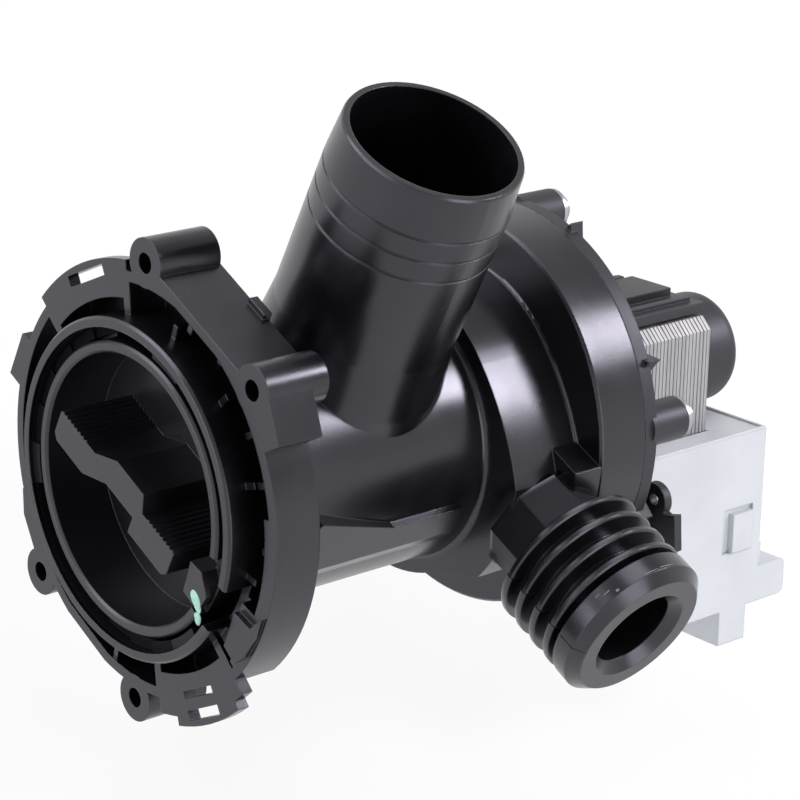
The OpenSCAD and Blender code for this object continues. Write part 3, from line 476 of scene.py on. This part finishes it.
def plain_moulding(name, low, high, rough, edge_radius):
    """Plastic with faint clouds and a fine skin."""
    material, tree, shader, coords = start_finish(name)
    clouds = noise(tree, coords, PLAIN_CLOUDS_PER_METRE, detail=4)
    two_tone(shader, clouds, low, high, rough)
    grain = noise(tree, coords, PLAIN_GRAIN_PER_METRE, detail=2)
    feed(shader, {"Normal": skin(tree, grain, rounded_normal(tree, edge_radius), GRAIN_DEPTH)})
    return material


put_on(plain_moulding("hood_white", *HOOD_TONES, HOOD_ROUGH, edge_radius=0.0007), "coil_hood")
natural_white = plain_moulding(
    "natural_white",
    low=(0.68, 0.67, 0.62),
    high=(0.76, 0.75, 0.71),
    rough=(0.41, 0.50),
    edge_radius=0.0004,
)
put_on(natural_white, "coil_bobbins", "rotor_core", "drive_dog", "thermal_fuse")
impeller_grey = plain_moulding(
    "impeller_grey",
    low=(0.020, 0.021, 0.022),
    high=(0.032, 0.033, 0.034),
    rough=(0.41, 0.50),
    edge_radius=0.0004,
)
put_on(impeller_grey, "impeller", "hub_cover")

# %% [markdown]
# ### Rubber, carbon and magnet
# O-rings and bearing mounts are matt rubber with a dusty bloom. The dry-running bushes and the
# ceramic magnet are matt too, with a finer speckle from the pressed powder. One noise drives tone,
# roughness and bump together, as each speck is a grain that has all three.

# %% Rubber, carbon and magnet
POWDER_EDGE = 0.0003
POWDER_DEPTH = 0.00006


def pressed_powder(name, low, high, rough, specks_per_metre):
    """A matt, speckled surface."""
    material, tree, shader, coords = start_finish(name)
    specks = noise(tree, coords, specks_per_metre, detail=5, roughness=0.7)
    two_tone(shader, specks, low, high, rough)
    normal = rounded_normal(tree, POWDER_EDGE)
    feed(shader, {"Normal": skin(tree, specks, normal, POWDER_DEPTH)})
    return material


seal_rubber = pressed_powder(
    "seal_rubber",
    low=(0.008, 0.008, 0.008),
    high=(0.018, 0.018, 0.018),
    rough=(0.57, 0.73),
    specks_per_metre=900,
)
put_on(seal_rubber, "filter_seal", "cover_seal", "front_bearing_mount", "rear_bearing_mount")
bearing_carbon = pressed_powder(
    "bearing_carbon",
    low=(0.015, 0.015, 0.016),
    high=(0.035, 0.035, 0.036),
    rough=(0.42, 0.58),
    specks_per_metre=1500,
)
put_on(bearing_carbon, "front_bearing", "rear_bearing")
ferrite_magnet = pressed_powder(
    "ferrite_magnet",
    low=(0.02, 0.02, 0.022),
    high=(0.045, 0.044, 0.046),
    rough=(0.47, 0.63),
    specks_per_metre=2000,
)
put_on(ferrite_magnet, "rotor_magnet")

# %% [markdown]
# ### Bright metals
# Screws and rivets are zinc plated, the shaft is ground steel and the terminals are tinned brass.
# A stretched noise gives the marks of turning or stamping, each along the way the tool moved: a
# large scale along an axis packs the marks close on it, so they run across it.

# %% Bright metals
METAL_EDGE = 0.0003
METAL_TINT = (0.55, 0.55, 0.58, 1)
MARKS_PER_METRE = 300
MARK_DEPTH = 0.00003


def bright_metal(name, low, high, rough, stretch):
    """Bare or plated metal with the marks of a tool."""
    material, tree, shader, coords = start_finish(name)
    drawn = add_node(tree, "ShaderNodeMapping", {"Vector": coords, "Scale": stretch}).outputs[0]
    marks = noise(tree, drawn, MARKS_PER_METRE, detail=4)
    two_tone(shader, marks, low, high, rough)
    normal = rounded_normal(tree, METAL_EDGE)
    feed(shader, {"Normal": skin(tree, marks, normal, MARK_DEPTH)})
    feed(shader, {"Metallic": 1.0, "Specular Tint": METAL_TINT})
    return material


zinc_plate = bright_metal(
    "zinc_plate",
    low=(0.38, 0.39, 0.41),
    high=(0.52, 0.53, 0.55),
    rough=(0.25, 0.42),
    stretch=(1, 6, 1),
)
put_on(zinc_plate, "cover_screws", "stack_rivets")
ground_steel = bright_metal(
    "ground_steel",
    low=(0.55, 0.56, 0.58),
    high=(0.66, 0.67, 0.69),
    rough=(0.13, 0.30),
    stretch=(1, 12, 1),
)
put_on(ground_steel, "rotor_shaft")
tinned_brass = bright_metal(
    "tinned_brass",
    low=(0.62, 0.60, 0.54),
    high=(0.74, 0.73, 0.70),
    rough=(0.23, 0.40),
    stretch=(6, 6, 1),
)
put_on(tinned_brass, "spade_terminals")

# %% [markdown]
# ### Lamination stack
# The stack is a pile of stamped sheets seen on edge. The solid carries the lines between pairs of
# sheets, and the finish gives each sheet its own tone: the place along the pile, cut down to whole
# sheets, picks one value of white noise. A slower smear stands for the burr of the stamping.

# %% Lamination stack
LINE_PITCH = 0.0013
SHEETS_PER_LINE = 2
SHEET_SHARE = 0.6
SHEET_EDGE = 0.0002
SMEARS_PER_METRE = 500
SMEAR_DEPTH = 0.00004
SHEET_TONES = (0.30, 0.30, 0.31), (0.50, 0.50, 0.51)
SHEET_ROUGH = (0.38, 0.55)


def stamped_sheets(name):
    """Steel sheets on edge, each in a tone of its own."""
    material, tree, shader, coords = start_finish(name)
    along = add_node(tree, "ShaderNodeSeparateXYZ", {0: coords}).outputs["Y"]
    count = math_node(tree, "DIVIDE", along, LINE_PITCH / SHEETS_PER_LINE)
    sheet = math_node(tree, "FLOOR", count)
    own_tone = add_node(tree, "ShaderNodeTexWhiteNoise", {"W": sheet}, noise_dimensions="1D")
    smear = noise(tree, coords, SMEARS_PER_METRE, detail=4)
    sheet_part = math_node(tree, "MULTIPLY", own_tone.outputs["Value"], SHEET_SHARE)
    smear_part = math_node(tree, "MULTIPLY", smear, 1 - SHEET_SHARE)
    tone = blend_colours(tree, math_node(tree, "ADD", sheet_part, smear_part), *SHEET_TONES)
    feed(shader, {"Base Color": tone, "Roughness": spread(tree, smear, *SHEET_ROUGH)})
    normal = rounded_normal(tree, SHEET_EDGE)
    feed(shader, {"Normal": skin(tree, smear, normal, SMEAR_DEPTH), "Metallic": 0.9})
    return material


put_on(stamped_sheets("sheet_edges"), "lamination_stack")

# %% [markdown]
# ### Copper windings
# Each coil is one solid, because hundreds of turns of wire would be slow to draw. The turns come
# from a fine wave that runs across it, for the colour and for the bump.

# %% Copper windings
WIRE_SCALE = 420
WIRE_DEPTH = 0.0002
WIRE_STRENGTH = 0.8
WIRE_TONES = (0.20, 0.055, 0.018), (0.52, 0.19, 0.07)
ENAMEL_CLOUDS_PER_METRE = 160
ENAMEL_MOST = 0.4
ENAMEL_TONE = (0.36, 0.11, 0.04)


def wound_wire(name):
    """Enamelled wire in close turns."""
    material, tree, shader, coords = start_finish(name)
    turns = add_node(
        tree,
        "ShaderNodeTexWave",
        {"Vector": coords, "Scale": WIRE_SCALE, "Distortion": 1.2, "Detail": 1.0},
        bands_direction="Y",
    ).outputs["Fac"]
    clouds = noise(tree, coords, ENAMEL_CLOUDS_PER_METRE)
    tone = blend_colours(tree, turns, *WIRE_TONES)
    tone = blend_colours(tree, spread(tree, clouds, 0, ENAMEL_MOST), tone, ENAMEL_TONE)
    normal = skin(tree, turns, modelled_normal(tree), WIRE_DEPTH, WIRE_STRENGTH)
    feed(shader, {"Base Color": tone, "Normal": normal})
    feed(shader, {"Metallic": 0.7, "Roughness": 0.35, "Coat Weight": 0.5})
    return material


put_on(wound_wire("enamelled_copper"), "coil_windings")

# %% [markdown]
# ## Pieces made here
# Five small pieces are modelled in this file: the step left by the two halves of the outlet's
# mould, a few scuffs, the low lip on the hood and two drops of paint. Each is built with bmesh
# operators in its final place, so the object itself stays at the origin, and each rides on the
# body that carries it.

# %% Piece helper
SHARP_FROM = math.radians(35)


def new_piece(name, shape, material, body):
    """Makes an object of a finished bmesh, gives it a finish and lets it ride on a body."""
    bmesh.ops.recalc_face_normals(shape, faces=shape.faces)
    for face in shape.faces:
        face.smooth = True
    for edge in shape.edges:
        edge.smooth = edge.calc_face_angle(0) < SHARP_FROM
    mesh = bpy.data.meshes.new(name)
    shape.to_mesh(mesh)
    shape.free()
    mesh.materials.append(material)
    piece = bpy.data.objects.new(name, mesh)
    scene.collection.objects.link(piece)
    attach(piece, body)
    print(name, "rides on", body, "with", len(mesh.polygons), "faces")


# %% [markdown]
# ### The mould halves of the outlet
# The outlet was moulded in two halves that don't meet exactly: below the parting line every fin
# and the collar stand a hair proud. `spin` sweeps a closed profile half way around the outlet, and
# `holes_fill` closes the two ends, which are the steps that show. A rounded rim has one point in
# its middle, which lies a share of the radius in from both faces.

# %% Half turns
FIN_RADIUS = 0.0194
FIN_ROOT = 0.0150
MOULD_STEP = 0.00016
PROUD_RADIUS = FIN_RADIUS + MOULD_STEP
EDGE_ROUND = 0.0005
MIDDLE_SHARE = 0.3
EDGE_MIDDLE = EDGE_ROUND * MIDDLE_SHARE
HALF_TURN_STEPS = 64


def half_turn(shape, profile):
    """Sweeps a closed profile of places along X and radii around the lower half of the outlet."""
    corners = [
        shape.verts.new(OUTLET_CENTRE + Vector((along, -radius, 0))) for along, radius in profile
    ]
    edges = [shape.edges.new(pair) for pair in zip(corners, corners[1:] + corners[:1])]
    bmesh.ops.spin(
        shape,
        geom=corners + edges,
        cent=OUTLET_CENTRE,
        axis=(1, 0, 0),
        angle=math.pi,
        steps=HALF_TURN_STEPS,
    )


def fin_profile(front, back):
    """The outline of a fin between two places along X, with its two rims rounded."""
    return [
        (front, FIN_ROOT),
        (front, PROUD_RADIUS - EDGE_ROUND),
        (front + EDGE_MIDDLE, PROUD_RADIUS - EDGE_MIDDLE),
        (front + EDGE_ROUND, PROUD_RADIUS),
        (back - EDGE_ROUND, PROUD_RADIUS),
        (back - EDGE_MIDDLE, PROUD_RADIUS - EDGE_MIDDLE),
        (back, PROUD_RADIUS - EDGE_ROUND),
        (back, FIN_ROOT),
    ]


# %% [markdown]
# ### Fins and collar
# The collar tapers to the mouth of the outlet. Its proud half stops just short of the mouth,
# because two faces in one place would fight for the same pixels.

# %% Lower half of the outlet
FIN_FIRST = 0.0547
FIN_PITCH = 0.0054
FIN_WIDTH = 0.0018
FIN_COUNT = 4
COLLAR_START = 0.0747
COLLAR_LENGTH = 0.0046
COLLAR_TAPER = 0.0027
TAPER_DROP = 0.0025
LIP_BACK = 0.00012

shape = bmesh.new()
for number in range(FIN_COUNT):
    fin_start = FIN_FIRST + number * FIN_PITCH
    half_turn(shape, fin_profile(fin_start - MOULD_STEP, fin_start + FIN_WIDTH + MOULD_STEP))
collar_end = COLLAR_START + COLLAR_LENGTH
mouth = collar_end + COLLAR_TAPER - LIP_BACK
half_turn(
    shape,
    [
        (COLLAR_START - MOULD_STEP, FIN_ROOT),
        (COLLAR_START - MOULD_STEP, PROUD_RADIUS - EDGE_ROUND),
        (COLLAR_START + EDGE_ROUND, PROUD_RADIUS),
        (collar_end, PROUD_RADIUS),
        (mouth, PROUD_RADIUS - TAPER_DROP),
        (mouth, FIN_ROOT),
    ],
)
bmesh.ops.holes_fill(shape, edges=shape.edges, sides=0)
new_piece("outlet_lower_half", shape, housing_black, "housing")

# %% [markdown]
# ### Scuffs on the collar
# Fitting a hose rubs the collar to a lighter, streaky grey. The rubbed plastic could be a mask in
# the black finish, but few and short marks are easier to place as pieces with a finish of their own.

# %% Rubbed plastic
STREAKS_PER_METRE = 3000
STREAK_DEPTH = 0.00004


def rubbed_plastic(name):
    """Black plastic rubbed to a streaky grey."""
    material, tree, shader, coords = start_finish(name)
    streaks = noise(tree, coords, STREAKS_PER_METRE)
    two_tone(shader, streaks, low=(0.10, 0.10, 0.11), high=(0.34, 0.34, 0.36), rough=(0.45, 0.7))
    feed(shader, {"Normal": skin(tree, streaks, modelled_normal(tree), STREAK_DEPTH)})
    return material


rubbed_black = rubbed_plastic("rubbed_black")
print("finish for the scuffs:", rubbed_black.name)

# %% [markdown]
# Each scuff is a sphere from `create_uvsphere`, drawn out along the stroke and pressed almost flat,
# half sunk into the plastic. The sphere starts one metre across, so the three columns of the matrix
# are the length, the width and the height that it ends with. A stroke is straight and the collar
# round, so it is lifted by a share of the height of the arc above it.

# %% Scuffs
BLOB_RADIUS = 0.5
BLOB_AROUND = 24
BLOB_UPWARD = 12
SCUFF_HEIGHT = 0.0003
SCUFF_LIFT = 0.7
SCUFF_STROKES = [
    # place along the outlet, first and last angle, width of the stroke
    (0.0787, 78, 92, 0.00028),
    (0.0788, 93, 107, 0.00020),
    (0.0784, 126, 128.5, 0.00070),
    (0.0772, 131, 137, 0.00026),
    (0.0763, 138, 142, 0.00018),
]


def around_outlet(along, degrees, radius):
    """A point on the outlet: 90 degrees is the top and 180 the side towards the flange."""
    angle = math.radians(degrees)
    return OUTLET_CENTRE + Vector((along, radius * math.cos(angle), radius * math.sin(angle)))


def add_blob(shape, start, stop, width, height, up):
    """A sphere drawn out between two points and flattened along the direction up."""
    made = bmesh.ops.create_uvsphere(
        shape, u_segments=BLOB_AROUND, v_segments=BLOB_UPWARD, radius=BLOB_RADIUS
    )
    along = stop - start
    side = up.cross(along).normalized()
    lift = along.cross(side).normalized()
    columns = Matrix((along, side * width, lift * height)).transposed().to_4x4()
    columns.translation = (start + stop) / 2
    bmesh.ops.transform(shape, matrix=columns, verts=made["verts"])


shape = bmesh.new()
for along, first, last, width in SCUFF_STROKES:
    start = around_outlet(along, first, FIN_RADIUS)
    stop = around_outlet(along, last, FIN_RADIUS)
    middle = around_outlet(along, (first + last) / 2, FIN_RADIUS)
    outward = (middle - OUTLET_CENTRE - Vector((along, 0, 0))).normalized()
    lifted = (middle - (start + stop) / 2) * SCUFF_LIFT
    add_blob(shape, start + lifted, stop + lifted, width, SCUFF_HEIGHT, outward)
new_piece("collar_scuffs", shape, rubbed_black, "housing")

# %% [markdown]
# ### The lip of the hood
# A low lip runs along the right, rear and left walls on top of the hood. Its outline is one face,
# drawn in the upright frame of the motor, raised with `extrude_face_region`, rounded with `bevel`
# and at last leant over with the motor. It starts a little inside the walls, so no faces coincide.

# %% Lip of the hood
MOTOR_LEAN = math.radians(-27)
LIP_HALF_WIDTH = 0.02795
LIP_FRONT = 0.1316
LIP_REAR = 0.17975
LIP_THICKNESS = 0.0010
LIP_FOOT = -0.0158
LIP_RISE = 0.0009
LIP_ROUND = 0.00025

inner_half_width = LIP_HALF_WIDTH - LIP_THICKNESS
inner_rear = LIP_REAR - LIP_THICKNESS
outline = [
    (LIP_HALF_WIDTH, LIP_FRONT),
    (LIP_HALF_WIDTH, LIP_REAR),
    (-LIP_HALF_WIDTH, LIP_REAR),
    (-LIP_HALF_WIDTH, LIP_FRONT),
    (-inner_half_width, LIP_FRONT),
    (-inner_half_width, inner_rear),
    (inner_half_width, inner_rear),
    (inner_half_width, LIP_FRONT),
]
shape = bmesh.new()
foot = shape.faces.new([shape.verts.new((x, y, LIP_FOOT)) for x, y in outline])
raised = bmesh.ops.extrude_face_region(shape, geom=[foot])["geom"]
top_corners = [part for part in raised if isinstance(part, bmesh.types.BMVert)]
bmesh.ops.translate(shape, vec=(0, 0, LIP_RISE), verts=top_corners)
top_edges = [edge for edge in shape.edges if all(corner in top_corners for corner in edge.verts)]
bmesh.ops.bevel(
    shape,
    geom=top_edges,
    offset=LIP_ROUND,
    affect="EDGES",
    segments=3,
    profile=0.5,
    material=-1,
)
bmesh.ops.rotate(
    shape, cent=(0, 0, 0), matrix=Matrix.Rotation(MOTOR_LEAN, 3, "Y"), verts=shape.verts
)
lip_white = plain_moulding("lip_white", *HOOD_TONES, HOOD_ROUGH, edge_radius=LIP_ROUND)
new_piece("hood_lip", shape, lip_white, "housing")

# %% [markdown]
# ### Two drops of paint
# Once the filter is tight, the assembly line dabs teal paint on its pointer and on the rim beside
# it. A cloud noise thins the colour here and there, and a low roughness keeps the surface looking
# wet.

# %% Paint
DABS_PER_METRE = 900
DAB_DEPTH = 0.00008


def drop_paint(name):
    """Glossy paint of uneven thickness."""
    material, tree, shader, coords = start_finish(name)
    clouds = noise(tree, coords, DABS_PER_METRE)
    two_tone(shader, clouds, low=(0.24, 0.50, 0.42), high=(0.40, 0.68, 0.58), rough=(0.28, 0.42))
    feed(shader, {"Normal": skin(tree, clouds, modelled_normal(tree), DAB_DEPTH)})
    return material


teal_paint = drop_paint("teal_paint")
print("finish for the drops:", teal_paint.name)

# %% [markdown]
# The drops are flattened spheres, like the scuffs. Two lobes that overlap give each an uneven
# outline, as a dab from a brush has. Both ride on the filter, so they turn with it.

# %% Paint drops
POINTER_FACE = -0.0055
RIM_FACE = -0.0041
TOWARDS_FRONT = Vector((0, -1, 0))
DROP_HEIGHT = 0.0008


def paint_drop(name, lobes, face):
    """A drop of overlapping lobes on a face: each has two end points in X and Z, and a width."""
    shape = bmesh.new()
    for (start_x, start_z), (stop_x, stop_z), width in lobes:
        start = Vector((start_x, face, start_z))
        stop = Vector((stop_x, face, stop_z))
        add_blob(shape, start, stop, width, DROP_HEIGHT, TOWARDS_FRONT)
    new_piece(name, shape, teal_paint, "filter")


paint_drop(
    "paint_on_pointer",
    [
        ((0.0309, -0.0012), (0.0349, -0.0031), 0.0029),
        ((0.0326, -0.0022), (0.0356, -0.0040), 0.0021),
    ],
    POINTER_FACE,
)
paint_drop(
    "paint_on_rim",
    [
        ((0.0336, -0.0060), (0.0352, -0.0088), 0.0022),
        ((0.0329, -0.0072), (0.0353, -0.0070), 0.0020),
    ],
    RIM_FACE,
)
